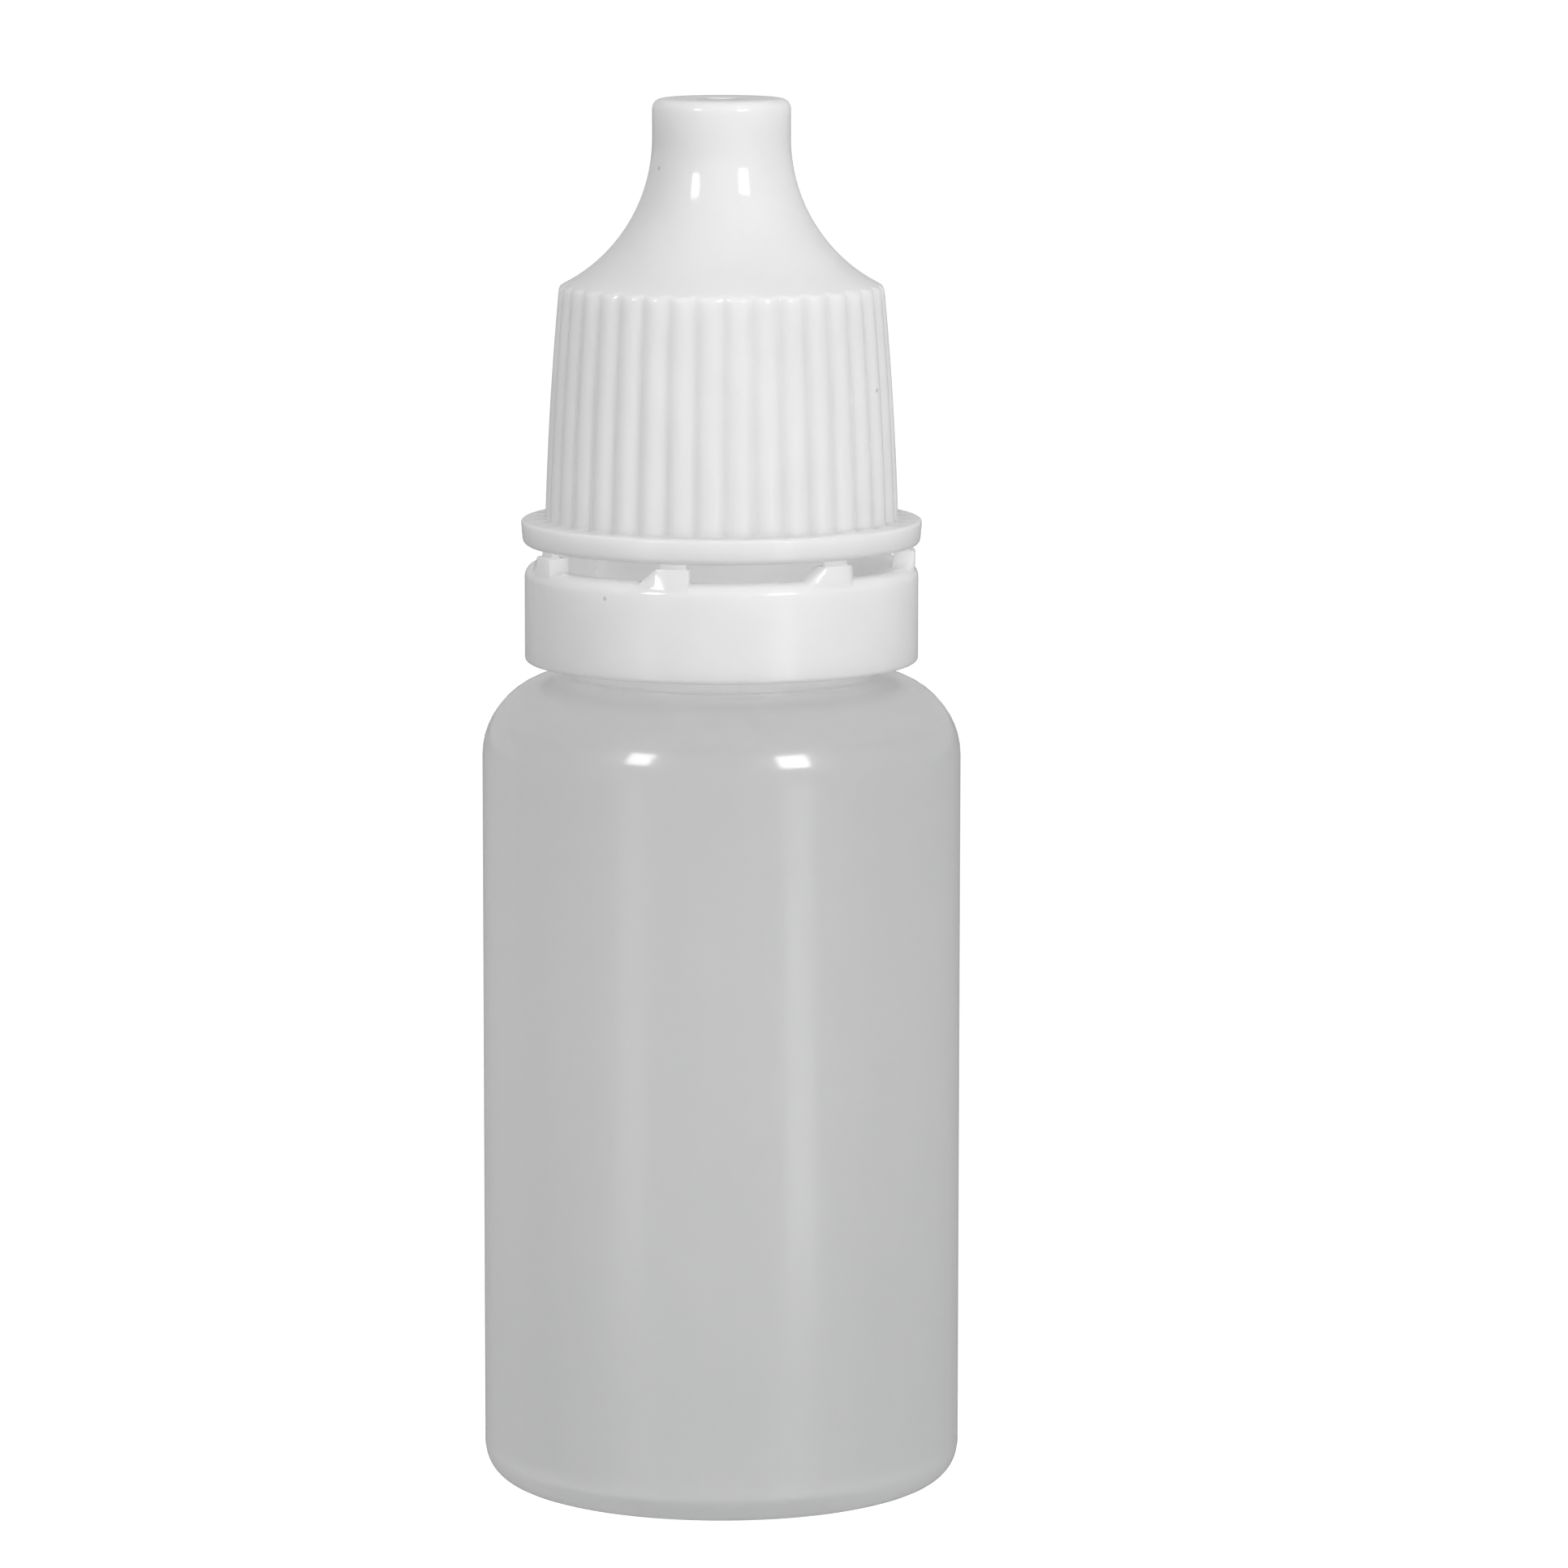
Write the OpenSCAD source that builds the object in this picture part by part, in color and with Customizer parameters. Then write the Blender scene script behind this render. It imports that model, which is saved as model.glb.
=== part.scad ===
// Eye drop bottle: a squeeze bottle with a press-in dropper tip, a ribbed screw cap and a tamper band.
// Millimetres. Z is the bottle's axis, Z = 0 is the plane that it stands on, and the front faces -Y.

/* [Bottle body] */
// Outside diameter of the body
body_d = 22; // [19:0.5:30]
// Height of the shoulder's top above the standing plane
shoulder_h = 37.65; // [28:0.05:60]
// Radius of the round shoulder
shoulder_r = 3.75; // [2:0.25:3.75]
// Radius of the round edge at the foot
foot_r = 1.6; // [1.2:0.1:2.4]
// Thickness of the body's wall
body_wall = 0.9; // [0.6:0.05:1.1]
// Thickness of the floor
floor_t = 1.1; // [0.8:0.1:2]
// Diameter of the hollow pushed up under the floor
hollow_d = 14; // [10:0.5:15]
// Height of the hollow under the floor
hollow_h = 0.7; // [0.4:0.1:1.2]

/* [Neck] */
// Height of the neck above the shoulder
neck_h = 13.95; // [13:0.05:18]
// Diameter of the neck without its thread
neck_d = 11.5; // [10.5:0.1:12]
// Thickness of the neck's wall
neck_wall = 1.25; // [0.9:0.05:1.6]
// Height of the thread that stands out of the neck
thread_h = 0.65; // [0.5:0.05:0.7]
// How far the collar under the thread stands out past it
collar_step = 1.25; // [1:0.05:1.5]
// Height of the collar's straight edge
collar_h = 0.6; // [0.4:0.1:0.8]
// Height of the collar's sloping top
collar_slope_h = 0.9; // [0.6:0.1:1.2]
// Bevel on the outside of the mouth
mouth_bevel = 0.3; // [0.1:0.05:0.35]

/* [Dropper tip] */
// Length of the plug inside the neck
plug_l = 6; // [4.5:0.5:8]
// Wall of the plug
plug_wall = 1.2; // [0.9:0.1:1.4]
// How far the plug stands back from the neck's bore between its beads
plug_relief = 0.15; // [0.1:0.05:0.25]
// Height of each sealing bead round the plug
bead_h = 0.7; // [0.5:0.1:0.9]
// Thickness of the flange that rests on the mouth
tip_flange_t = 1; // [0.7:0.1:1.4]
// How far the flange stays inside the edge of the mouth
tip_flange_inset = 0.4; // [0.35:0.05:0.6]
// Height of the nozzle above the flange
nozzle_h = 10.3; // [9:0.1:12]
// Diameter of the nozzle at its root
nozzle_root_d = 5.8; // [5:0.1:6.4]
// Diameter of the nozzle at its end
nozzle_end_d = 3.5; // [3:0.1:4]
// How far below the mouth the plug's bore starts to narrow
taper_drop = 2; // [1.5:0.1:3]
// Height over which it narrows to the channel
taper_h = 6.4; // [5:0.1:7]
// Diameter of the channel through the nozzle
channel_d = 1.2; // [0.9:0.1:1.4]
// Diameter of the orifice that measures the drop
orifice_d = 0.6; // [0.5:0.05:0.8]
// Length of the orifice
orifice_l = 0.8; // [0.6:0.1:1.2]
// Diameter of the flared mouth that the drop hangs from
flare_d = 1.9; // [1.7:0.1:2.1]
// Depth of the flared mouth
flare_h = 0.6; // [0.5:0.05:0.8]

/* [Screw cap] */
// Gap between the neck's thread and the cap's bore
cap_clearance = 0.25; // [0.2:0.05:0.35]
// Gap between the nozzle's end and the crown, on each side
nozzle_clearance = 0.42; // [0.35:0.01:0.5]
// Wall of the shoulder and the crown
cap_wall = 1; // [0.8:0.05:1.2]
// Thickness of the crown's top
crown_t = 1.2; // [1:0.1:1.6]
// Height of the crown's straight part
crown_h = 1.8; // [1.2:0.1:3]
// Radius of the hollow sweep from the crown down to the ribs
sweep_r = 7.5; // [6.5:0.1:9]
// Radius of the round edge of the crown
crown_edge_r = 0.45; // [0.3:0.05:0.6]
// Wall of the skirt behind the ribs, at its top
skirt_wall_top = 0.45; // [0.4:0.05:0.7]
// Wall of the skirt behind the ribs, at its foot
skirt_wall_foot = 1.12; // [0.9:0.01:1.3]
// How far the skirt's sides bow out past a straight line
skirt_bow = 0.09; // [0.06:0.01:0.16]
// Number of grip ribs
rib_count = 36; // [24:1:40]
// How far the ribs stand out
rib_h = 0.35; // [0.25:0.05:0.4]
// Radius of each rib's round back
rib_r = 0.52; // [0.45:0.01:0.6]
// Turn of the first rib from the front
rib_turn = -4; // [-5:0.5:5]
// Thickness of the lip at the cap's foot
lip_t = 1.15; // [0.9:0.05:1.6]
// How far the lip stands out past the band
lip_step = 0.18; // [0.1:0.02:0.3]
// How far the lip draws in towards its lower edge
lip_draw = 0.1; // [0.05:0.05:0.2]
// Diameter of the dimple in the crown's top
dimple_d = 1.5; // [1:0.1:2]
// Depth of the dimple
dimple_h = 0.35; // [0.2:0.05:0.5]
// Length of the pin that closes the tip
pin_h = 0.45; // [0.3:0.05:0.5]
// Gap round the pin in the tip's flared mouth
pin_clearance = 0.12; // [0.1:0.01:0.15]

/* [Tamper band] */
// Gap between the bottle's shoulder and the band
band_gap = 0.65; // [0.4:0.05:1]
// Height of the band without its teeth
band_h = 4.5; // [4:0.1:5.5]
// Wall of the band
band_wall = 1.1; // [0.9:0.05:1.3]
// Gap between the collar and the band
band_clearance = 0.3; // [0.25:0.05:0.4]
// Radius of the round upper edge of the band
band_edge_r = 0.6; // [0.4:0.05:0.7]
// How far the holding bead reaches in under the collar
hold_reach = 0.65; // [0.5:0.05:0.75]
// Height of the holding bead
hold_h = 0.9; // [0.7:0.1:1.2]
// Height of the holding bead above the band's lower edge
hold_z = 0.45; // [0.3:0.05:0.8]
// Up and down play of the band under the collar
band_play = 0.35; // [0.25:0.05:0.5]
// Number of drive teeth on the band
tooth_count = 7; // [5:1:9]
// Height of the drive teeth
tooth_h = 0.65; // [0.45:0.05:0.9]
// Width of a tooth along its top
tooth_top_w = 1.5; // [1:0.1:2]
// Width that a tooth's slanted side takes up
tooth_slant_w = 0.9; // [0.5:0.1:1.2]
// How far a tooth's face stands back from the band's outside
tooth_inset = 0.15; // [0.1:0.05:0.3]
// Turn of the first tooth's upright side from the front
tooth_turn = -9.7; // [-20:0.1:20]
// Height of the bridges that join the band to the cap
bridge_h = 0.25; // [0.15:0.05:0.4]
// Thickness of the bridges, from front to back
bridge_t = 0.35; // [0.25:0.05:0.45]
// How far a bridge stands back from a tooth's face
bridge_inset = 0.2; // [0.1:0.05:0.25]
// How far a bridge stops short of each end of its tooth
bridge_end_gap = 0.12; // [0.05:0.01:0.2]

/* [Hidden] */
$fn = 96;
cut = 1;
natural_plastic = [0.78, 0.78, 0.79, 0.85];
white_plastic = [0.93, 0.93, 0.92];

body_r = body_d / 2;
neck_r = neck_d / 2;
bore_r = neck_r - neck_wall;
thread_r = neck_r + thread_h;
collar_r = thread_r + collar_step;
mouth_z = shoulder_h + neck_h;

band_z = shoulder_h + band_gap;
band_top_z = band_z + band_h;
band_inner_r = collar_r + band_clearance;
band_r = band_inner_r + band_wall;
hold_r = band_inner_r - hold_reach;
neck_root_r = hold_r - band_clearance;
collar_z = band_z + hold_z + hold_h + band_play;
tooth_r = band_r - tooth_inset;
tooth_top_z = band_top_z + tooth_h;

tip_flange_top_z = mouth_z + tip_flange_t;
nozzle_top_z = tip_flange_top_z + nozzle_h;
plug_z = mouth_z - plug_l;
plug_r = bore_r - plug_relief;
plug_bore_r = bore_r - plug_wall;
taper_z = mouth_z - taper_drop;
taper_top_z = taper_z + taper_h;
flare_z = nozzle_top_z - flare_h;
orifice_z = flare_z - orifice_l;

cap_bore_r = thread_r + cap_clearance;
crown_r = nozzle_end_d / 2 + nozzle_clearance + cap_wall;
crown_top_z = nozzle_top_z + crown_t;
sweep_z = crown_top_z - crown_h;
cap_z = tooth_top_z + bridge_h;
lip_top_z = cap_z + lip_t;
lip_r = band_r + lip_step;
core_top_r = cap_bore_r + skirt_wall_top;
core_foot_r = cap_bore_r + skirt_wall_foot;
core_top_z = sweep_height(core_top_r);
rim_r = core_top_r + rib_h;
rim_z = sweep_height(rim_r);
rib_foot_r = core_foot_r + rib_h;

// Small rounds and lead-ins
lip_foot_edge_r = 0.3;
lip_top_edge_r = 0.15;
band_foot_edge_r = 0.2;
cap_lead_in = 0.25;

// How far each rib runs on past the rim and down into the lip
rib_run_on = 0.7;

// Height at which the hollow sweep under the crown has grown to radius r
function sweep_height(r) = sweep_z - sqrt(sweep_r * sweep_r - pow(crown_r + sweep_r - r, 2));

// Radius of a round bow of height h over a chord of length c
function bow_radius(c, h) = c * c / (8 * h) + h / 2;

// The waste outside a round of radius r at an outward corner. side is +1 or -1 along each axis.
module corner_waste(corner, r, side) {
    translate([corner.x - side.x * r, corner.y - side.y * r])
        mirror([side.x < 0 ? 1 : 0, 0])
            mirror([0, side.y < 0 ? 1 : 0])
                difference() {
                    square(r + cut);
                    circle(r);
                }
}

// A half section that reaches from the axis to radius r, between two heights, with two round edges
module half_block(r, low_z, high_z, low_edge_r, high_edge_r) {
    difference() {
        translate([0, low_z])
            square([r, high_z - low_z]);
        corner_waste([r, low_z], low_edge_r, [1, -1]);
        corner_waste([r, high_z], high_edge_r, [1, 1]);
    }
}

// A half section of a cone from radius low_r up to radius high_r
module half_cone(low_r, high_r, low_z, high_z) {
    polygon([[0, low_z], [low_r, low_z], [high_r, high_z], [0, high_z]]);
}

// A half section of a round-topped dome of radius r and height h that stands on height z
module half_dome(r, h, z, grow = 0) {
    dome_r = bow_radius(2 * r, h);
    intersection() {
        translate([0, z + h - dome_r])
            circle(dome_r + grow);
        translate([0, z - cut])
            square([r + grow, h + grow + cut]);
    }
}

// Bottle: the body and neck as one turned section
module bottle_outside() {
    half_block(body_r, 0, shoulder_h, foot_r, shoulder_r);
    translate([0, shoulder_h - cut])
        square([neck_root_r, collar_z - shoulder_h + cut]);
    translate([0, collar_z])
        square([collar_r, collar_h]);
    half_cone(collar_r, neck_r, collar_z + collar_h, collar_z + collar_h + collar_slope_h);
    difference() {
        translate([0, collar_z])
            square([neck_r, mouth_z - collar_z]);
        translate([neck_r, mouth_z])
            rotate(45)
                square(mouth_bevel * sqrt(2), center = true);
    }
}

module bottle_inside() {
    difference() {
        half_block(
            body_r - body_wall, floor_t, shoulder_h - body_wall,
            foot_r - body_wall, shoulder_r - body_wall
        );
        half_dome(hollow_d / 2, hollow_h, 0, floor_t);
    }
    translate([0, shoulder_h - body_wall - cut])
        square([bore_r, neck_h + body_wall + 2 * cut]);
}

module bottle() {
    color(natural_plastic)
        rotate_extrude()
            difference() {
                bottle_outside();
                bottle_inside();
                half_dome(hollow_d / 2, hollow_h, 0);
            }
}

// Dropper tip: plug, flange and nozzle as one turned section
module sealing_bead(z) {
    translate([0, z])
        half_cone(plug_r, bore_r, 0, bead_h / 2);
    translate([0, z + bead_h / 2])
        half_cone(bore_r, plug_r, 0, bead_h / 2);
}

module tip_outside() {
    lead_in = 2 * plug_relief;
    half_cone(plug_r - lead_in, plug_r, plug_z, plug_z + 2 * lead_in);
    translate([0, plug_z + 2 * lead_in])
        square([plug_r, plug_l - 2 * lead_in + cut / 2]);
    sealing_bead(plug_z + plug_l / 3);
    sealing_bead(mouth_z - 2 * bead_h);
    half_block(neck_r - tip_flange_inset, mouth_z, tip_flange_top_z, plug_relief, plug_relief);
    difference() {
        half_cone(nozzle_root_d / 2, nozzle_end_d / 2, tip_flange_top_z - cut / 2, nozzle_top_z);
        corner_waste([nozzle_end_d / 2, nozzle_top_z], plug_relief, [1, 1]);
    }
}

module tip_inside() {
    translate([0, plug_z - cut])
        square([plug_bore_r, plug_l - taper_drop + cut]);
    half_cone(plug_bore_r, channel_d / 2, taper_z, taper_top_z);
    translate([0, taper_top_z - cut])
        square([channel_d / 2, orifice_z - taper_top_z + cut]);
    translate([0, orifice_z - cut])
        square([orifice_d / 2, orifice_l + 2 * cut]);
    half_cone(orifice_d / 2, flare_d / 2, flare_z, nozzle_top_z);
    translate([0, nozzle_top_z])
        square([flare_d / 2, cut]);
}

module dropper_tip() {
    color(natural_plastic)
        rotate_extrude()
            difference() {
                tip_outside();
                tip_inside();
            }
}

// Screw cap. A large round, centred beside the crown, leaves the hollow sweep of the shoulder.
module sweep_round(grow = 0) {
    translate([crown_r + sweep_r, sweep_z])
        circle(sweep_r + grow);
}

module crown_waste() {
    sweep_round();
    translate([crown_r, sweep_z])
        square([core_top_r, crown_h + cut]);
    corner_waste([crown_r, crown_top_z], crown_edge_r, [1, 1]);
    polygon([
        [0, crown_top_z - dimple_h], [dimple_d / 2, crown_top_z],
        [dimple_d / 2, crown_top_z + cut], [0, crown_top_z + cut]
    ]);
}

// The lip's side leans in towards its foot
function lip_side_r(z) = lip_r - lip_draw * (lip_top_z - z) / lip_t;

module lip_outside() {
    low_z = cap_z + lip_foot_edge_r;
    high_z = lip_top_z - lip_top_edge_r;
    difference() {
        half_cone(lip_side_r(cap_z), lip_r, cap_z, lip_top_z);
        corner_waste([lip_side_r(low_z), cap_z], lip_foot_edge_r, [1, -1]);
        corner_waste([lip_side_r(high_z), lip_top_z], lip_top_edge_r, [1, 1]);
    }
}

module cap_inside() {
    crown_inner_r = crown_r - cap_wall;
    difference() {
        translate([0, cap_z - cut])
            square([cap_bore_r, nozzle_top_z - cap_z + cut]);
        sweep_round(cap_wall);
        translate([crown_inner_r, sweep_z])
            square([cap_bore_r, crown_h + cut]);
        closing_pin();
    }
    half_cone(cap_bore_r + cap_lead_in, cap_bore_r, cap_z, cap_z + cap_lead_in);
    translate([0, cap_z - cut])
        square([cap_bore_r + cap_lead_in, cut]);
}

// The pin reaches down into the tip's flared mouth
module closing_pin() {
    pin_root_r = flare_d / 2 - pin_clearance;
    pin_end_r = pin_root_r - (flare_d - orifice_d) / 2 * pin_h / flare_h;
    half_cone(pin_end_r, pin_root_r, nozzle_top_z - pin_h, nozzle_top_z);
    translate([0, nozzle_top_z])
        square([pin_root_r, cut]);
}

// One grip rib: a short stretch of a large ring, whose back bows out between the rim and the lip
module grip_rib() {
    chord = norm([rim_z - lip_top_z, rib_foot_r - rim_r]);
    lean = atan((rib_foot_r - rim_r) / (rim_z - lip_top_z));
    ring_r = bow_radius(chord, skirt_bow);
    half_turn = asin((chord / 2 + rib_run_on) / ring_r);
    middle = [(rim_r + rib_foot_r) / 2, (rim_z + lip_top_z) / 2];
    centre = middle + (skirt_bow - ring_r) * [cos(lean), sin(lean)];
    translate([centre.x, 0, centre.y])
        rotate([90, 0, 0])
            rotate(lean - half_turn)
                rotate_extrude(angle = 2 * half_turn, $fn = 720)
                    translate([ring_r - rib_r, 0])
                        circle(rib_r, $fn = 32);
}

module grip_ribs() {
    for (i = [0 : rib_count - 1])
        rotate(rib_turn - 90 + i * 360 / rib_count)
            grip_rib();
}

module screw_cap() {
    color(white_plastic)
        difference() {
            union() {
                rotate_extrude() {
                    lip_outside();
                    half_cone(core_foot_r, core_top_r, lip_top_z - cut, core_top_z);
                    translate([0, core_top_z - cut / 2])
                        square([core_top_r, crown_top_z - core_top_z + cut / 2]);
                }
                grip_ribs();
            }
            rotate_extrude()
                cap_inside();
            rotate_extrude()
                crown_waste();
        }
}

// What the tamper band's inside leaves free: a bore with the holding bead standing in it
module band_inside() {
    bead_z = band_z + hold_z;
    difference() {
        translate([0, band_z - cut])
            square([band_inner_r, band_h + tooth_h + bridge_h + 2 * cut]);
        polygon([
            [band_inner_r + cut, bead_z], [band_inner_r, bead_z], [hold_r, bead_z + hold_h / 2],
            [hold_r, bead_z + hold_h], [band_inner_r + cut, bead_z + hold_h]
        ]);
    }
}

// The slice of a disc that lies behind a flat outline drawn across the front
module front_slice(disc_r, z, h) {
    intersection() {
        translate([0, 0, z])
            cylinder(h = h, r = disc_r);
        rotate([90, 0, 0])
            linear_extrude(disc_r + cut)
                children();
    }
}

// One drive tooth, upright on its right side and slanted on its left. Its foot is sunk into the band.
module drive_tooth() {
    foot_z = band_top_z - band_edge_r;
    tooth_foot_w = tooth_top_w + tooth_slant_w * (1 + band_edge_r / tooth_h);
    front_slice(tooth_r, foot_z, band_edge_r + tooth_h)
        polygon([[0, foot_z], [0, tooth_top_z], [-tooth_top_w, tooth_top_z], [-tooth_foot_w, foot_z]]);
}

// The thin bridge on a tooth, which holds the band to the cap until it snaps
module bridge() {
    bridge_r = tooth_r - bridge_inset;
    difference() {
        front_slice(bridge_r, tooth_top_z - bridge_h, 2 * bridge_h)
            translate([bridge_end_gap - tooth_top_w, tooth_top_z - bridge_h - cut])
                square([tooth_top_w - 2 * bridge_end_gap, 2 * (bridge_h + cut)]);
        translate([0, 0, tooth_top_z - bridge_h - cut])
            cylinder(h = 2 * (bridge_h + cut), r = bridge_r - bridge_t);
    }
}

module tamper_band() {
    color(white_plastic)
        difference() {
            union() {
                rotate_extrude()
                    half_block(band_r, band_z, band_top_z, band_foot_edge_r, band_edge_r);
                for (i = [0 : tooth_count - 1])
                    rotate(tooth_turn + i * 360 / tooth_count) {
                        drive_tooth();
                        bridge();
                    }
            }
            rotate_extrude()
                band_inside();
        }
}

bottle();
dropper_tip();
screw_cap();
tamper_band();
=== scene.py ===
# %% [markdown]
# Eye drop bottle
#
# This lesson dresses a small squeeze bottle for eye drops, about 64 mm tall. The real object is four
# mouldings: the blown bottle, the dropper tip pressed into its neck, the screw cap, and the tamper band
# that stays on the neck when the cap comes off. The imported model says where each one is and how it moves.
# Here each one is built again in the same place as a finer mesh, with its screw thread, its soft edges and
# the finish of the real plastic.

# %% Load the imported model
import math

import bmesh
import bpy
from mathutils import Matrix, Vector


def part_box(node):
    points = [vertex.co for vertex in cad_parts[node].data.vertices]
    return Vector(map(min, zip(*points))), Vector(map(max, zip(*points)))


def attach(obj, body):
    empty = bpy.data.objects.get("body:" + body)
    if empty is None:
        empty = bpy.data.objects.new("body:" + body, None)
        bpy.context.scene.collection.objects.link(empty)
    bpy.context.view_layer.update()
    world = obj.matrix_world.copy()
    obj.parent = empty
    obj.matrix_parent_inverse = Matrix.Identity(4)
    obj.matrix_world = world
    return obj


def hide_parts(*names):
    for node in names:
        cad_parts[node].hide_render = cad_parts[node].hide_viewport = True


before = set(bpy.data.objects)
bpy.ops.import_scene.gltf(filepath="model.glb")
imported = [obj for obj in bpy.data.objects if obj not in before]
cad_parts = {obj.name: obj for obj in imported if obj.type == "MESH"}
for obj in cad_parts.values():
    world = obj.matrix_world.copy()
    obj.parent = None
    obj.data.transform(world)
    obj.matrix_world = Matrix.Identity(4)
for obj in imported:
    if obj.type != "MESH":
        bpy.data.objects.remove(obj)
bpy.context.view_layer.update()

MM = 0.001
print("packed nodes:", sorted(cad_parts))

# %% [markdown]
# The camera
#
# The photograph was taken with a long lens from a little above the bottle's middle: the rings of the lip,
# the band and the foot all show as flat ellipses, and the body narrows by only 1% on its way down. Their
# flatness gives the height of the camera, and their widths give its distance. The bottle stands left of
# the middle of the picture, so the lens is shifted and not turned, which keeps upright lines parallel.

# %% Place the camera
PHOTO_PIXELS = 1932
AXIS_PIXEL = 889
FOCAL_PIXELS = 9737
CAMERA_DISTANCE = 361 * MM
CAMERA_HEIGHT = 84.6 * MM
CAMERA_PITCH = math.radians(8.21)

camera_data = bpy.data.cameras.new("camera")
camera_data.sensor_width = 36
camera_data.lens = camera_data.sensor_width * FOCAL_PIXELS / PHOTO_PIXELS
camera_data.shift_x = (PHOTO_PIXELS / 2 - AXIS_PIXEL) / PHOTO_PIXELS
camera = bpy.data.objects.new("camera", camera_data)
camera.location = (0, -CAMERA_DISTANCE, CAMERA_HEIGHT)
camera.rotation_euler = (math.pi / 2 - CAMERA_PITCH, 0, 0)
bpy.context.scene.collection.objects.link(camera)
bpy.context.scene.camera = camera
print("lens:", round(camera_data.lens, 1), "mm, shift:", round(camera_data.shift_x, 3))

# %% [markdown]
# Sections and turning
#
# Nearly everything here is round, so each moulding is drawn as half a section, a line of points given by
# radius and height in millimetres, and that line is carried round the axis. Blender's Spin tool or Screw
# modifier could do this with one fixed line. A function that asks for the line at each angle does it as
# well, and it also lets a parting line, a rib or a tooth change the section on the way round.

# %% Draw a section with true rounds
def rounded(corners, steps=4):
    """Points along a line of (radius, height, round) corners, with a true arc at each round one."""
    places = [Vector(corner[:2]) for corner in corners]
    points = []
    for i, (place, corner) in enumerate(zip(places, corners)):
        bend = corner[2]
        if bend == 0:
            points.append(tuple(place))
            continue
        back = (places[i - 1] - place).normalized()
        onward = (places[(i + 1) % len(places)] - place).normalized()
        half = back.angle(onward) / 2
        centre = place + (back + onward).normalized() * bend / math.sin(half)
        start = place + back * bend / math.tan(half) - centre
        end = place + onward * bend / math.tan(half) - centre
        points += [tuple(centre + start.slerp(end, k / steps) * bend) for k in range(steps + 1)]
    return points


def levels(low, high, step):
    """Heights from low to high, evenly spaced and no further apart than step."""
    count = math.ceil(abs(high - low) / step)
    return [low + (high - low) * i / count for i in range(count + 1)]


def smooth(share):
    """A soft start and end for a share that runs from 0 to 1."""
    share = min(max(share, 0.0), 1.0)
    return share * share * (3 - 2 * share)


sample = rounded([(0, 0, 0), (2, 0, 1), (2, 2, 0)], steps=2)
print("a corner with a 1 mm round:", [[round(c, 2) for c in point] for point in sample])

# %% Carry the section round the axis
WELD = 0.001 * MM


def new_piece(name, mesh):
    """Puts a mesh into the scene under a plain name."""
    piece = bpy.data.objects.new(name, mesh)
    bpy.context.scene.collection.objects.link(piece)
    return piece


def skinned(name, angles, section_at, whole_turn=True, closed_section=False):
    """A skin over the (radius, height) points in mm of section_at(angle), from the front towards +X."""
    sections = [section_at(angle) for angle in angles]
    turns, length = len(sections), len(sections[0])
    points = [
        (r * MM * math.sin(angle), -r * MM * math.cos(angle), z * MM)
        for angle, section in zip(angles, sections)
        for r, z in section
    ]
    faces = [
        (i * length + k, i * length + (k + 1) % length,
         (i + 1) % turns * length + (k + 1) % length, (i + 1) % turns * length + k)
        for i in range(turns if whole_turn else turns - 1)
        for k in range(length if closed_section else length - 1)
    ]
    mesh = bpy.data.meshes.new(name)
    mesh.from_pydata(points, [], faces)
    shape = bmesh.new()
    shape.from_mesh(mesh)
    bmesh.ops.remove_doubles(shape, verts=shape.verts, dist=WELD)
    shape.to_mesh(mesh)
    shape.free()
    return new_piece(name, mesh)


def full_turn(count):
    """Evenly spaced angles for a whole turn."""
    return [2 * math.pi * i / count for i in range(count)]


# %% [markdown]
# Geometry Nodes
#
# Two things on this object follow a rule. The grip ribs and the drive teeth repeat round the axis, and the
# screw threads climb along a helix. Both rules are built as node trees with named inputs, so the same tree
# serves the neck and the cap, the ribs and the teeth. Each tree makes its result real and gives it the
# material at its end, and the finished piece is then kept as one plain mesh.

# %% Build a node tree with one helper
def add(tree, kind, settings=None, inputs=None):
    """Adds a node, sets its properties, and links or sets its inputs."""
    node = tree.nodes.new(kind)
    for name, value in (settings or {}).items():
        setattr(node, name, value)
    for name, value in (inputs or {}).items():
        if isinstance(value, bpy.types.NodeSocket):
            tree.links.new(value, node.inputs[name])
        else:
            node.inputs[name].default_value = value
    return node


def geometry_tree(name, inputs):
    """A Geometry Nodes tree with a geometry, a material and the named inputs. Returns it and its inputs."""
    tree = bpy.data.node_groups.new(name, "GeometryNodeTree")
    kinds = {"Geometry": "NodeSocketGeometry", "Material": "NodeSocketMaterial", **inputs}
    for label, kind in kinds.items():
        tree.interface.new_socket(label, in_out="INPUT", socket_type=kind)
    tree.interface.new_socket("Geometry", in_out="OUTPUT", socket_type="NodeSocketGeometry")
    return tree, add(tree, "NodeGroupInput").outputs


def end_tree(tree, geometry, material):
    """Makes instances real, gives them the material and closes the tree."""
    real = add(tree, "GeometryNodeRealizeInstances", inputs={"Geometry": geometry})
    painted = add(
        tree, "GeometryNodeSetMaterial", inputs={"Geometry": real.outputs[0], "Material": material}
    )
    add(tree, "NodeGroupOutput", inputs={"Geometry": painted.outputs[0]})


def run_tree(piece, tree, values):
    """Puts the tree on a piece as a modifier, with its inputs set by their identifiers."""
    modifier = piece.modifiers.new(tree.name, "NODES")
    modifier.node_group = tree
    for item in tree.interface.items_tree:
        if item.in_out == "INPUT" and item.name in values:
            modifier[item.identifier] = values[item.name]


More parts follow.
